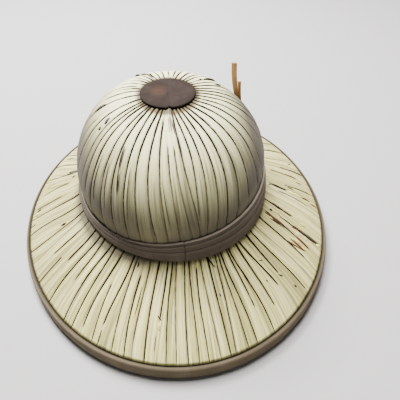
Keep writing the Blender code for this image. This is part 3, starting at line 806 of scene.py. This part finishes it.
def leaf_material(name, pale, grey, sheet_length, look):
    """Dried palm leaf: fibres along each leaf, faint folds, dark grooves and soiling by the band, with
    painted shade and painted light laid into the colour.
    """
    hues = bpy.context.scene.hat_colours
    made, maker, set_shader = new_material(name)
    read = {
        label: maker.parts(maker.node("ShaderNodeAttribute", {"attribute_name": label}, out=1))
        for label in ("leaf", "groove", "side")
    }
    from_near, to_far, along = read["leaf"]
    near_dark, far_dark, seed = read["groove"]
    outer, bearing, across = read["side"]
    where = maker.node("ShaderNodeTexCoord", out=3)

    # Noise along and across each leaf.
    own = seed * 61.0
    run = along * sheet_length
    leaf_width = from_near + to_far
    fibre = maker.grain(from_near * 1.5, run * 0.03, own, 4.0, 0.65)
    streak = maker.grain(from_near * 0.42, run * 0.012, own + 7.0, 2.0, 0.55)
    ragged = maker.grain(run * 0.16, own, from_near * 0.4, 3.0, 0.6)
    wrinkle = maker.grain(from_near * 1.3, run * 0.045, own + 31.0, 2.0, 0.55)
    cloud = maker.speckle(where, 26.0, 3.0, 0.55)
    broad = maker.speckle(where, 9.0, 2.0, 0.5)

    thread = maker.grain(from_near * 0.8, run * 0.014, own + 43.0, 2.0, 0.5)

    # A fold down the leaf, whose line gets painted shade, and wrinkles where it is pinched, which get
    # painted shade and painted highlight.
    crease_at = from_near - leaf_width * (0.38 + 0.25 * seed)
    crease = (1.0 - abs(crease_at).rise(0.1, 0.5)) * ragged.rise(0.45, 0.6) * seed.rise(0.3, 0.5)
    pinch = along.rise(*look["pinch"])

    # Dirt and painted shade beside the band and down the crown's sides, painted shade beside the band on
    # the brim's front left, and painted shade down the brim's sides.
    turned = bearing.cos()
    # The crown's sides carry the dirt and painted shade higher up.
    level = along - look["sides"] * abs(turned) ** 3.0 * (1.0 + 0.25 * turned) * (1.0 - along)
    dirt_and_shade = (1.0 - level.rise(look["dirt_and_shade_from"], look["dirt_and_shade_to"])) * (0.7 + 0.5 * (broad - 0.5))
    # Painted shade beside the band, darkest on the brim's front left and mottled by the fibre.
    band_shade = (bearing - BAND_SHADE_BEARING).cos().at_least(0.0) ** 5.0 * (1.0 - along.rise(0.0, 0.27)) ** 1.6
    dirt_and_shade = dirt_and_shade * look["dirt_and_shade"] + band_shade * (0.35 + 1.3 * fibre) * look["band_shade"]
    # Painted shade down the brim's left and right sides.
    dirt_and_shade = dirt_and_shade + turned * turned * look["side_shade"]

    # The lines of the grooves on both edges, dark with dirt and painted shade, their halos and their ink.
    wide = look["line"] * (0.6 + 0.8 * ragged) * (1.0 - look["taper"] * along)
    wide = wide * (1.0 + 0.6 * abs(turned))
    near_line = near_dark * (1.0 - (from_near / wide).rise(0.35, 1.0))
    far_line = far_dark * (1.0 - (to_far / wide).rise(0.35, 1.0))
    line = near_line.at_least(far_line) * ragged.rise(0.25, 0.55, 0.5, 1.0)
    halo_near = near_dark * (1.0 - from_near.rise(0.0, wide * 2.6))
    halo_far = far_dark * (1.0 - to_far.rise(0.0, wide * 2.6))
    ink = look["ink"] * (0.82 + 0.6 * abs(turned)) * (1.0 - look["faint"] * (1.0 - along.rise(0.2, 0.7)))
    inked = (line * ink).at_most(1.0)
    plain = maker.mix(cloud.rise(0.3, 0.7), hues.lining, scaled(hues.lining, 0.8))

    tone = maker.layers(
        pale,
        ((0.5 * streak + 0.6 * cloud + 0.45 * seed - 0.28).rise(0.25, 0.8), grey),
        # fibre and streak tones, the pale streaks partly a painted sheen
        (fibre.rise(0.45, 0.8, 0.0, look["fibre"]), look["shade"]),
        (fibre.rise(0.5, 0.2, 0.0, 0.45), look["bright"]),
        (streak.rise(0.50, 0.66, 0.0, look["streak"]), look["shade"]),
        (streak.rise(0.48, 0.33, 0.0, look["streak"]), look["bright"]),
        (thread.rise(0.53, 0.68, 0.0, look["streak"]), look["shade"]),
        # painted shade on each leaf's far half, where its curve turns from the light
        (across.rise(0.5, 0.98, 0.0, look["half"]), look["shade"]),
        # painted shade along the fold
        (crease * look["crease"], hues.stain),
        # painted light on the crown's upper part
        (along.rise(0.35, 0.75) * look["top_light"], look["bright"]),
        # painted shade and painted highlight on the gathered wrinkles
        (wrinkle.rise(0.52, 0.68) * pinch * 0.5, look["shadow_hue"]),
        (wrinkle.rise(0.48, 0.34) * pinch * 0.9, look["bright"]),
        # dirt and painted shade, darkest at the foot of the crown and beside the band
        (dirt_and_shade.at_most(1.0), look["dirt_and_shade_hue"]),
        (halo_near.at_least(halo_far) * 0.34, hues.stain),
        # dirt and painted shade in the grooves
        (inked.rise(0.0, 0.8), scaled(hues.stain, 0.45)),
        (inked.rise(0.3, 1.0), hues.groove),
        # painted shadow under the button's edge on the crown, and beside the band on the brim
        (along.rise(*look["painted_shadow"]) * look["painted_shadow_depth"], look["shadow_hue"]),
        (along.rise(0.972, 0.995) * look["hem"], hues.groove),
        (1.0 - outer, plain),
    )
    height = 0.5 * fibre + 0.35 * streak - 0.3 * crease - 0.9 * line + 0.8 * pinch * wrinkle
    set_shader(
        Base_Color=tone,
        Roughness=fibre.rise(0.2, 0.8, look["gloss"], look["gloss"] + 0.16).at_least(line),
        Normal=bump(maker, height, 0.00035, 0.8),
        Specular_IOR_Level=look["shine"],
    )
    return made


def cloth_material(name, hue, weave, worn):
    """Plain-woven cloth: crossing threads, a little pale fuzz, painted highlight on its rounded edges and
    painted shade in its creases.
    """
    made, maker, set_shader = new_material(name)
    where = maker.node("ShaderNodeTexCoord", out=3)
    mark = maker.node("ShaderNodeAttribute", {"attribute_name": "mark"}, out=2)
    x, y, z = maker.parts(where)
    turn = maker.node("ShaderNodeMath", {"operation": "ARCTAN2"}, {0: y, 1: x})
    warp = (turn * (weave * 0.105)).sin()
    weft = (z * weave * math.tau * 0.16).sin()
    threads = 0.5 + 0.25 * warp * weft + 0.12 * warp
    fuzz = maker.speckle(where, 420.0, 3.0, 0.7)
    patch = maker.speckle(where, 38.0, 3.0, 0.6)
    long_streak = maker.grain(turn * 9.0, z * 900.0, 0.0, 3.0, 0.6)
    light = scaled(hue, 1.55, 0.01)
    tone = maker.layers(
        scaled(hue, 0.55),
        (threads.rise(0.2, 0.85), hue),
        ((patch * 0.7 + long_streak * 0.3).rise(0.45, 0.75, 0.0, 0.35), light),
        (fuzz.rise(0.55, 0.85, 0.0, worn), light),
        # painted highlight on rounded edges, and painted shade under folds and in the rim's hollows
        (mark.rise(0.1, 1.0, 0.0, 0.95), scaled(hue, 3.9, 0.01)),
        (mark.rise(-0.1, -1.0, 0.0, 0.9), scaled(hue, 0.16)),
    )
    set_shader(
        Base_Color=tone,
        Roughness=fuzz.rise(0.2, 0.8, 0.82, 0.96),
        Normal=bump(maker, threads + 0.6 * fuzz + 0.3 * long_streak, 0.00018, 0.5),
        Specular_IOR_Level=0.1,
        Sheen_Weight=0.03,
    )
    return made


def bark_material():
    """The top button: matte brown bark with a faint rust patch, a dimple and a slit."""
    hues = bpy.context.scene.hat_colours
    made, maker, set_shader = new_material("button_bark")
    where = maker.node("ShaderNodeTexCoord", out=3)
    x, y, z = maker.parts(where)
    x = x - CROWN_SHIFT
    turn = maker.node("ShaderNodeMath", {"operation": "ARCTAN2"}, {0: y, 1: x})
    away = (x * x + y * y).root()
    grain = maker.grain(turn * 3.0, away * 90.0, 0.0, 3.0, 0.6)
    patch = maker.speckle(where, 90.0, 3.0, 0.6)
    fine = maker.speckle(where, 700.0, 3.0, 0.7)
    dark = scaled(hues.bark, 0.55)
    rust_x, rust_y = x + 0.008, (y - 0.001) * 0.8
    rust = 1.0 - ((rust_x * rust_x + rust_y * rust_y).root() + 0.012 * (patch - 0.5)).rise(0.001, 0.0100)
    dimple_y = y - 0.0125
    dimple = 1.0 - (x * x + dimple_y * dimple_y).root().rise(0.0004, 0.0016)
    slit = (1.0 - abs(x).rise(0.0002, 0.0007)) * (1.0 - y.rise(0.010, 0.013))
    tone = maker.layers(
        dark,
        ((0.3 * grain + 0.7 * patch).rise(0.3, 0.7, 0.3, 1.0), hues.bark),
        (fine.rise(0.5, 0.85, 0.0, 0.45), scaled(hues.bark, 1.4)),
        (rust * 0.07, hues.rust),
        ((dimple * 0.8).at_least(slit * 0.35), dark),
        (away.rise(0.021, 0.0262) * 0.35, dark),
    )
    set_shader(
        Base_Color=tone,
        Roughness=fine.rise(0.2, 0.8, 0.85, 0.98),
        Normal=bump(maker, 0.4 * grain + 0.6 * fine - dimple, 0.0003, 0.6),
        Specular_IOR_Level=0.05,
    )
    return made


def fibre_material(name, hue, contrast):
    """Split leaf or bare fibre, with its grain up the piece."""
    made, maker, set_shader = new_material(name)
    where = maker.node("ShaderNodeTexCoord", out=3)
    x, y, z = maker.parts(where)
    grain = maker.grain(x * 1500.0, y * 1500.0, z * 60.0, 3.0, 0.6)
    patch = maker.speckle(where, 60.0, 2.0, 0.5)
    tone = maker.layers(
        scaled(hue, 1.0 - contrast),
        (grain.rise(0.3, 0.75), scaled(hue, 1.0 + contrast)),
        (patch.rise(0.4, 0.7, 0.0, 0.5), hue),
    )
    set_shader(
        Base_Color=tone,
        Roughness=grain.rise(0.2, 0.8, 0.45, 0.7),
        Normal=bump(maker, grain, 0.0002, 0.6),
        Specular_IOR_Level=0.35,
    )
    return made


# Shapes made ring by ring.


def oval(angle, half_width, half_length, shift=0.0):
    """A point of an oval in plan, with its angle counted anticlockwise from +X."""
    return shift + half_width * math.cos(angle), half_length * math.sin(angle)


def wall_point(angle, out, height):
    """A point beside the crown's upright wall, that far out from its surface."""
    x, y = oval(angle, CROWN_HALF_WIDTH + out, CROWN_HALF_LENGTH + out, CROWN_SHIFT)
    return Vector((x, y, height))


def band_bottom(angle):
    """Height of the band's lower edge."""
    return SEAT_Z - BAND_DIP * math.cos(angle)


def band_top(angle):
    """Height of the band's upper edge, with a small drop at its seam."""
    right = math.cos(angle)
    from_seam = abs((angle - BAND_SEAM + math.pi) % math.tau - math.pi) * CROWN_HALF_WIDTH
    drop = SEAM_DROP * math.exp(-((from_seam / SEAM_DROP_REACH) ** 2))
    return BAND_TOP_Z + (BAND_LIFT if right > 0.0 else BAND_SAG) * right - drop


def mesh_of_rings(name, rings, material, ends=None, painted_lights=None):
    """A smooth object through rings of points, with a painted light value from -1 to 1 on each point for
    the shader: painted shade below 0, painted highlight above.

    An end is "cap" or the point of a tip. Without ends, the last ring joins the first.
    """
    shell = bmesh.new()
    made_rings = [[shell.verts.new(point) for point in ring] for ring in rings]
    pairs = list(zip(made_rings, made_rings[1:]))
    if ends is None:
        pairs.append((made_rings[-1], made_rings[0]))
    for lower, upper in pairs:
        for here in range(len(lower)):
            after = (here + 1) % len(lower)
            shell.faces.new((lower[here], lower[after], upper[after], upper[here]))
    for ring, end in zip((made_rings[0], made_rings[-1]), ends or ()):
        if end == "cap":
            shell.faces.new(ring)
        else:
            point = shell.verts.new(end)
            for here in range(len(ring)):
                shell.faces.new((ring[here], ring[(here + 1) % len(ring)], point))
    bmesh.ops.recalc_face_normals(shell, faces=shell.faces[:])
    data = bpy.data.meshes.new(name)
    shell.to_mesh(data)
    shell.free()
    data.shade_smooth()
    data.materials.append(material)
    if painted_lights:
        values = [mark for ring in painted_lights for mark in ring]
        values += [0.0] * (len(data.vertices) - len(values))
        data.attributes.new("mark", "FLOAT", "POINT").data.foreach_set("value", values)
    made = bpy.data.objects.new(name, data)
    bpy.context.scene.collection.objects.link(made)
    return made


# The band's three folds, from the top fold down: shares of its height between its lower and its upper
# edge, how far out the fold's upper and lower edges lie, in band walls, how far it bellies out, and how
# strong its painted highlight and painted shade are.
BAND_FOLDS = table(
    "top bottom top_out bottom_out belly worn",
    (1, 0.8, -0.9, 0.25, 0.45, 1),
    (0.83, 0.53, 0.85, 1.25, 0.35, 0.32),
    (0.56, 0, 1.7, 2.1, 0.35, 0.26),
)

# How much painted highlight (up to 1) or painted shade (down to -1) a fold has at each of its points, from
# its upper edge down.
FOLD_PAINTED_LIGHT = (1.0, 1.0, 0.95, 0.25, 0.0, -0.1, -0.6, -1.0)
BAND_ROUND_STEPS = 240
SEAM_DROP = 0.0006
SEAM_DROP_REACH = 0.0012


def band_section(angle):
    """The band's section there: three rounded folds outside, then plain up the inside."""
    bottom, top = band_bottom(angle), band_top(angle)
    spread = 1.0 + 0.10 * math.cos(angle)
    points = []
    ripple = noise.noise(Vector((math.cos(angle) * 3.0, math.sin(angle) * 3.0, 0.3)))
    for index, fold in enumerate(BAND_FOLDS):
        shift = 0.025 * noise.noise(Vector((math.cos(angle) * 2.0, math.sin(angle) * 2.0, 4.0 + index)))
        high, low = fold["top"], fold["bottom"]
        if index:
            high = high / spread + shift
        if low > 0.0:
            low = low / spread + shift
        for step in range(len(FOLD_PAINTED_LIGHT)):
            share = step / (len(FOLD_PAINTED_LIGHT) - 1)
            eased = 0.5 - 0.5 * math.cos(math.pi * share)
            out = fold["top_out"] + (fold["bottom_out"] - fold["top_out"]) * eased
            out += fold["belly"] * math.sin(math.pi * share)
            out += 0.12 * ripple
            edge_in = 0.75 * (1.0 - math.sin(math.pi * min(1.0, max(0.0, share * 0.94 + 0.03))) ** 0.35)
            level = bottom + (top - bottom) * (high + (low - high) * eased)
            points.append(wall_point(angle, COLLAR_CLEAR + (out - edge_in) * BAND_WALL, level))
    points.append(wall_point(angle, COLLAR_CLEAR - 0.0004, bottom + 0.0006))
    points.append(wall_point(angle, COLLAR_CLEAR - 0.0008, bottom + 0.004))
    points.append(wall_point(angle, 0.0004, bottom + 0.010))
    points.append(wall_point(angle, 0.0004, top - 0.0006))
    return points


def settle(piece, slot, *nodes):
    """Attaches a finished piece to the root body and hides the frame's nodes that it stands for. Its slot
    is not used.
    """
    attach(piece, "root")
    if nodes:
        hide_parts(*nodes)


def cover(part, columns, rows, depth, material):
    """Lays the leaves over the crown or the brim."""
    sizes = bpy.context.scene.hat_sizes
    inputs = {
        "Across": float(LEAF_STEPS_ACROSS),
        "Rows": float(rows),
        "Groove": depth,
        "Reach": sizes.groove_reach,
        "Swell": sizes.leaf_swell,
        "Waver": sizes.leaf_waver,
        "Gather": sizes.gather,
    }
    leaves = grow(part + "_leaves", covering_tree(part), columns, inputs, material)
    settle(leaves, part + "_leaf", part)


class HAT_OT_crown(bpy.types.Operator):
    """Cover the crown in palm leaf"""

    bl_idname = "hat.crown"
    bl_label = "Crown leaves"

    def execute(self, context):
        sizes, hues = context.scene.hat_sizes, context.scene.hat_colours
        dice = random.Random(LEAF_SEED)
        columns = grooves_all_round(CROWN_GROOVES, CROWN_STATIONS, BACK_CROWN_LEAVES, dice)
        # Several of these set painted shade and painted light: beside the band, down the sides, under the
        # button, across each leaf, on the wrinkles and on the upper part.
        look = {
            "fibre": 0.42, "shade": srgb(126, 120, 82), "bright": srgb(250, 248, 194), "streak": 0.64,
            "half": 0.2, "crease": 0.3, "shadow_hue": srgb(70, 58, 38), "pinch": (0.55, 0.86),
            "dirt_and_shade": 1.45, "dirt_and_shade_from": -0.10, "dirt_and_shade_to": 0.61, "dirt_and_shade_hue": srgb(94, 88, 76),
            "sides": 0.62, "band_shade": 0.0, "top_light": 0.9, "side_shade": 0.0,
            "painted_shadow": (0.812, 0.848), "painted_shadow_depth": 0.9, "hem": 0.0,
            "line": 0.52, "taper": -1.15, "ink": 1.3, "faint": 0.5, "gloss": 0.5, "shine": 0.12,
        }
        material = leaf_material("crown_leaf", hues.leaf_pale, hues.leaf_grey, 150.0, look)
        rows = CROWN_ROWS_INSIDE + 1 + CROWN_ROWS_OUTSIDE
        cover("crown", columns, rows, sizes.crown_groove, material)
        return {"FINISHED"}


class HAT_OT_brim(bpy.types.Operator):
    """Cover the brim in palm leaf"""

    bl_idname = "hat.brim"
    bl_label = "Brim leaves"

    def execute(self, context):
        sizes, hues = context.scene.hat_sizes, context.scene.hat_colours
        dice = random.Random(LEAF_SEED + 1)
        columns = grooves_all_round(BRIM_GROOVES, BRIM_STATIONS, BACK_BRIM_LEAVES, dice)
        # Several of these set painted shade and painted light: beside the band, down the sides, across each
        # leaf and on the wrinkles.
        look = {
            "fibre": 0.42, "shade": srgb(142, 134, 90), "bright": srgb(250, 242, 184), "streak": 0.72,
            "half": 0.15, "crease": 0.5, "shadow_hue": srgb(78, 66, 46), "pinch": (0.36, 0.02),
            "dirt_and_shade": 0.36, "dirt_and_shade_from": -0.08, "dirt_and_shade_to": 0.14, "dirt_and_shade_hue": srgb(112, 106, 82),
            "sides": 0.0, "band_shade": 1.9, "top_light": 0.0, "side_shade": 0.30,
            "painted_shadow": (0.05, 0.0), "painted_shadow_depth": 0.5, "hem": 0.7,
            "line": 0.88, "taper": 0.35, "ink": 1.15, "faint": 0.0, "gloss": 0.55, "shine": 0.14,
        }
        material = leaf_material("brim_leaf", hues.brim_pale, hues.brim_grey, 70.0, look)
        rows = BRIM_ROWS_ON_TOP + 1 + BRIM_ROWS_UNDER + 1
        cover("brim", columns, rows, sizes.brim_groove, material)
        return {"FINISHED"}


class HAT_OT_tears(bpy.types.Operator):
    """Lay the cracks, bare fibres and raised chips on the leaf"""

    bl_idname = "hat.tears"
    bl_label = "Tears"

    def execute(self, context):
        sizes, hues = context.scene.hat_sizes, context.scene.hat_colours
        finishes = {
            "crack": fibre_material("leaf_crack", hues.groove, 0.35),
            "fibre": fibre_material("bare_fibre", scaled(hues.stain, 0.5), 0.5),
            "rust": fibre_material("rusty_fibre", scaled(hues.rust, 0.45), 0.6),
            "bare": fibre_material("bare_leaf", hues.bare, 0.2),
            "chip": fibre_material("leaf_chip", scaled(hues.brim_pale, 1.05), 0.12),
        }
        dice = random.Random(LEAF_SEED + 2)
        inputs = {"Around": 8.0, "Rows": 14.0, "Lift": sizes.tear_lift}
        for part, tears in (("crown", CROWN_TEARS), ("brim", BRIM_TEARS)):
            tree = tear_tree(part)
            for shows, material in finishes.items():
                if shows in tears:
                    columns = tear_columns(tears[shows], dice)
                    piece = grow(f"{part}_tear_{shows}", tree, columns, inputs, material)
                    settle(piece, "raw_leaf" if shows in ("fibre", "rust") else part + "_leaf")
        return {"FINISHED"}


class HAT_OT_band(bpy.types.Operator):
    """Wind the folded cloth band round the joint"""

    bl_idname = "hat.band"
    bl_label = "Band"

    def execute(self, context):
        hue = context.scene.hat_colours.cloth
        material = cloth_material("band_cloth", hue, 9000.0, 0.3)
        half_gap = 0.00015 / CROWN_HALF_WIDTH
        first, turn = BAND_SEAM + half_gap, math.tau - 2 * half_gap
        sections = [
            band_section(first + turn * step / BAND_ROUND_STEPS) for step in range(BAND_ROUND_STEPS + 1)
        ]
        painted_lights = []
        for step in range(BAND_ROUND_STEPS + 1):
            angle = first + turn * step / BAND_ROUND_STEPS
            open_share = min(1.0, 0.3 + 0.8 * (band_top(angle) - band_bottom(angle)) / BAND_HEIGHT)
            # Painted highlight and painted shade on each point of the folds, weaker where the band is
            # narrow.
            across = [
                mark * open_share * (fold["worn"] if mark > 0.0 else 0.5 + 0.5 * fold["worn"])
                for fold in BAND_FOLDS
                for mark in FOLD_PAINTED_LIGHT
            ]
            painted_lights.append(across + [0.0] * (len(sections[0]) - len(across)))
        band = mesh_of_rings("band_folds", sections, material, ("cap", "cap"), painted_lights)
        settle(band, "band_cloth", "hat_band")
        return {"FINISHED"}


BUTTON_NICK = math.radians(-90.0)
BUTTON_STEPS = 120
NICK_REACH = 0.0022
NICK_DEPTH = 0.003
SLIT_REACH = 0.0007
SLIT_DEPTH = 0.0004
BUTTON_PROFILE = table(
    "away up",
    (0.1, 1),
    (0.3, 1.02),
    (0.55, 1),
    (0.75, 0.9),
    (0.9, 0.7),
    (0.97, 0.45),
    (1, 0.1),
    (0.99, -0.25),
    (0.94, -0.4),
    (0.6, -0.1),
)


class HAT_OT_button(bpy.types.Operator):
    """Set the oval button over the gathered leaf ends"""

    bl_idname = "hat.button"
    bl_label = "Button"

    def execute(self, context):
        material = bark_material()
        base = BUTTON_LOW.z + 0.0006
        high = BUTTON_HIGH.z - base
        rings = []
        for row in BUTTON_PROFILE:
            ring = []
            for step in range(BUTTON_STEPS):
                angle = BUTTON_NICK + math.tau * step / BUTTON_STEPS
                away_from_nick = math.tau * min(step, BUTTON_STEPS - step) / BUTTON_STEPS
                nick = max(0.0, 1.0 - away_from_nick * BUTTON_HALF_WIDTH / NICK_REACH)
                reach = row["away"] - NICK_DEPTH / BUTTON_HALF_LENGTH * nick * row["away"] ** 3
                from_slit = away_from_nick * BUTTON_HALF_WIDTH * reach
                slit = math.exp(-((from_slit / SLIT_REACH) ** 2)) * (SLIT_DEPTH if row["up"] > 0.3 else 0.0)
                waver = noise.noise(Vector((math.cos(angle) * 2, math.sin(angle) * 2, row["away"] * 3)))
                reach *= 1.0 + 0.012 * waver
                x, y = oval(angle, BUTTON_HALF_WIDTH * reach, BUTTON_HALF_LENGTH * reach, CROWN_SHIFT)
                ring.append((x, y, base + high * row["up"] - slit + 0.00025 * waver))
            rings.append(ring)
        tips = ((CROWN_SHIFT, 0.0, base + high * 0.92), (CROWN_SHIFT, 0.0, base - 0.0001))
        button = mesh_of_rings("button_cap", rings, material, tips)
        settle(button, "button_bark", "top_button")
        return {"FINISHED"}


# One point of the rim's section a row, as shares of the hoop's width and height, with its painted highlight
# (up to 1) or painted shade (down to -1) there.
HOOP_SECTION = table(
    "inward up mark",
    (1, 0, -0.3),
    (0.7, 0, -0.3),
    (0.4, 0, -0.3),
    (0.2, 0.03, -0.2),
    (0.08, 0.12, 0),
    (0.02, 0.28, 0),
    (0, 0.48, 0),
    (0.02, 0.68, 0),
    (0.08, 0.83, 0.2),
    (0.2, 0.94, 0.35),
    (0.36, 1, 0.2),
    (0.55, 1.02, -0.6),
    (0.8, 0.99, -0.9),
    (0.97, 0.9, -1),
    (1, 0.7, -1),
    (1, 0.35, -0.8),
)
RIM_STEPS = 280


class HAT_OT_rim(bpy.types.Operator):
    """Bind the rim in cloth"""

    bl_idname = "hat.rim"
    bl_label = "Rim binding"

    def execute(self, context):
        hue = context.scene.hat_colours.binding
        material = cloth_material("rim_binding", hue, 12000.0, 0.35)
        rings = []
        for point in HOOP_SECTION:
            ring = []
            for step in range(RIM_STEPS):
                angle = math.tau * step / RIM_STEPS
                around = Vector((math.cos(angle) * 6.0, math.sin(angle) * 7.0, point["up"] * 1.2))
                dent = 0.00025 * noise.noise(around) * (1.0 if point["up"] > 0.05 else 0.0)
                inward = HOOP_WIDTH * point["inward"] - dent
                x, y = oval(angle, RIM_HALF_WIDTH - inward, RIM_HALF_LENGTH - inward)
                ring.append((x, y, HOOP_HEIGHT * point["up"]))
            rings.append(ring)
        # The painted highlight on the rim's rounded top, and the painted shade under and inside it.
        painted_lights = [[point["mark"]] * RIM_STEPS for point in HOOP_SECTION]
        hoop = mesh_of_rings("rim_binding_hoop", rings, material, painted_lights=painted_lights)
        settle(hoop, "rim_binding", "rim_hoop")
        return {"FINISHED"}


# One sprung strip a row, as in the frame: its bearing from +X in degrees, shares of the dome's height
# at its foot, where it leaves the dome and at its tip, its widths in metres, its lean and its twist.
STRIPS = (
    {
        "name": "strip_long", "node": "sprung_strip_long", "bearing": 28.0, "foot": 0.22, "leave": 0.43,
        "tip": 1.05, "foot_width": 0.0070, "tip_width": 0.0054, "lean": 0.16, "twist": 42.0,
    },
    {
        "name": "strip_short", "node": "sprung_strip_short", "bearing": 24.8, "foot": 0.26, "leave": 0.42,
        "tip": 0.80, "foot_width": 0.0035, "tip_width": 0.0035, "lean": 0.13, "twist": 50.0,
    },
)
STRIP_THICKNESS = 0.0009
STRIP_ROWS = 30
STRIP_CORNERS = 12

# The share of each strip that lies on the dome.
ON_DOME = 0.3


def dome_point(angle, height_share, out):
    """A point off the dome at a share of its height."""
    quarter = math.asin(height_share ** (1 / DOME_RISE_POWER))
    spread = math.cos(quarter) ** DOME_SPREAD_POWER
    x, y = oval(angle, (CROWN_HALF_WIDTH + out) * spread, (CROWN_HALF_LENGTH + out) * spread, CROWN_SHIFT)
    return Vector((x, y, BAND_TOP_Z + (DOME_HEIGHT + out) * height_share))


class HAT_OT_strips(bpy.types.Operator):
    """Bend the two strips of leaf that have sprung loose"""

    bl_idname = "hat.strips"
    bl_label = "Sprung strips"

    def execute(self, context):
        material = fibre_material("raw_leaf", context.scene.hat_colours.raw, 0.4)
        for row in STRIPS:
            angle = math.radians(row["bearing"])
            outward = Vector((math.cos(angle), math.sin(angle), 0.0))
            tangent = Vector((-outward.y, outward.x, 0.0))
            leave = dome_point(angle, row["leave"], CLEARANCE + STRIP_THICKNESS / 2)
            rings = []
            for step in range(STRIP_ROWS + 1):
                share = step / STRIP_ROWS
                if share < ON_DOME:
                    level = row["foot"] + (row["leave"] - row["foot"]) * share / ON_DOME
                    point, free = dome_point(angle, level, CLEARANCE + STRIP_THICKNESS / 2), 0.0
                else:
                    free = (share - ON_DOME) / (1.0 - ON_DOME)
                    rise = DOME_HEIGHT * (row["tip"] - row["leave"])
                    inward = rise * row["lean"] * (1 - (1 - free) ** 2)
                    point = leave - outward * inward + Vector((0.0, 0.0, rise * free))
                turn = math.radians(row["twist"]) * free
                side = tangent * math.cos(turn) - outward * math.sin(turn)
                through = outward * math.cos(turn) + tangent * math.sin(turn)
                half = (row["foot_width"] + (row["tip_width"] - row["foot_width"]) * share) / 2
                ring = []
                for corner in range(STRIP_CORNERS):
                    around = math.tau * corner / STRIP_CORNERS
                    u = math.copysign(abs(math.cos(around)) ** 0.5, math.cos(around))
                    v = math.copysign(abs(math.sin(around)) ** 0.5, math.sin(around))
                    curl = 0.0006 * free * u * u
                    ring.append(point + side * half * u + through * (STRIP_THICKNESS / 2 * v + curl))
                rings.append(ring)
            strip = mesh_of_rings(row["name"], rings, material, ("cap", "cap"))
            settle(strip, "raw_leaf", row["node"])
        return {"FINISHED"}


CAMERA_PLACE = (-0.013537, -0.345946, 0.317163)
CAMERA_PITCH = 0.718233
CAMERA_YAW = 0.112532
CAMERA_ROLL = 0.006778
CAMERA_LENS = 39.19

FLOOR_REACH = 6.0
LAMP_TARGET = Vector((0.0, 0.0, 0.05))

# One lamp a row: its place, how wide and long it is, and its power in watts. Each points at the hat.
LAMPS = (
    {"name": "window", "place": (-0.38, 0.80, 1.25), "width": 0.7, "length": 0.6, "power": 80.0},
    {"name": "ceiling", "place": (0.00, 0.30, 1.50), "width": 0.6, "length": 0.6, "power": 49.0},
    {"name": "fill", "place": (0.1, -1.5, 0.9), "width": 1.4, "length": 1.0, "power": 3.0},
)


class HAT_OT_stage(bpy.types.Operator):
    """Set the floor, the lamps and the camera"""

    bl_idname = "hat.stage"
    bl_label = "Stage"

    def execute(self, context):
        floor_mesh = bpy.data.meshes.new("floor")
        signs = ((-1, -1), (1, -1), (1, 1), (-1, 1))
        corners = [(FLOOR_REACH * x, FLOOR_REACH * y, 0.0) for x, y in signs]
        floor_mesh.from_pydata(corners, [], [(0, 1, 2, 3)])
        floor = bpy.data.objects.new("floor", floor_mesh)
        context.scene.collection.objects.link(floor)
        made, _, set_shader = new_material("plain_floor")
        set_shader(Base_Color=(0.44, 0.43, 0.42, 1.0), Roughness=0.8)
        floor_mesh.materials.append(made)

        world = bpy.data.worlds.new("studio")
        context.scene.world = world
        world.use_nodes = True
        sky = world.node_tree.nodes["Background"].inputs
        sky["Color"].default_value = (1.0, 0.98, 0.95, 1.0)
        sky["Strength"].default_value = 0.03

        for row in LAMPS:
            data = bpy.data.lights.new(row["name"], "AREA")
            data.shape = "RECTANGLE"
            data.size, data.size_y, data.energy = row["width"], row["length"], row["power"]
            lamp = bpy.data.objects.new(row["name"], data)
            lamp.location = row["place"]
            lamp.rotation_euler = (LAMP_TARGET - Vector(row["place"])).to_track_quat("-Z", "Y").to_euler()
            context.scene.collection.objects.link(lamp)

        ahead = Vector(
            (
                math.sin(CAMERA_YAW) * math.cos(CAMERA_PITCH),
                math.cos(CAMERA_YAW) * math.cos(CAMERA_PITCH),
                -math.sin(CAMERA_PITCH),
            )
        )
        level = Vector((math.cos(CAMERA_YAW), -math.sin(CAMERA_YAW), 0.0))
        upright = level.cross(ahead)
        right = level * math.cos(CAMERA_ROLL) - upright * math.sin(CAMERA_ROLL)
        up = level * math.sin(CAMERA_ROLL) + upright * math.cos(CAMERA_ROLL)
        data = bpy.data.cameras.new("camera")
        data.lens, data.sensor_width = CAMERA_LENS, 36.0
        camera = bpy.data.objects.new("camera", data)
        turn = Matrix((right, up, -ahead)).transposed().to_4x4()
        camera.matrix_world = Matrix.Translation(CAMERA_PLACE) @ turn
        context.scene.collection.objects.link(camera)
        context.scene.camera = camera
        return {"FINISHED"}


OPERATORS = (
    HAT_OT_stage,
    HAT_OT_crown,
    HAT_OT_brim,
    HAT_OT_tears,
    HAT_OT_band,
    HAT_OT_button,
    HAT_OT_rim,
    HAT_OT_strips,
)


class HAT_PT_panel(bpy.types.Panel):
    """The hat's sizes, colours and pieces"""

    bl_idname = "HAT_PT_panel"
    bl_label = "Sun helmet"
    bl_space_type = "VIEW_3D"
    bl_region_type = "UI"
    bl_category = "Hat"

    def draw(self, context):
        for group in (context.scene.hat_sizes, context.scene.hat_colours):
            column = self.layout.column(align=True)
            for label in group.__annotations__:
                column.prop(group, label)
        for operator in OPERATORS:
            self.layout.operator(operator.bl_idname)


CLASSES = (HatSizes, HatColours) + OPERATORS + (HAT_PT_panel,)


def register():
    for each in CLASSES:
        bpy.utils.register_class(each)
    bpy.types.Scene.hat_sizes = bpy.props.PointerProperty(type=HatSizes)
    bpy.types.Scene.hat_colours = bpy.props.PointerProperty(type=HatColours)


def unregister():
    del bpy.types.Scene.hat_colours
    del bpy.types.Scene.hat_sizes
    for each in reversed(CLASSES):
        bpy.utils.unregister_class(each)


def main():
    register()
    for operator in OPERATORS:
        group, name = operator.bl_idname.split(".")
        getattr(getattr(bpy.ops, group), name)()


if __name__ == "__main__":
    main()
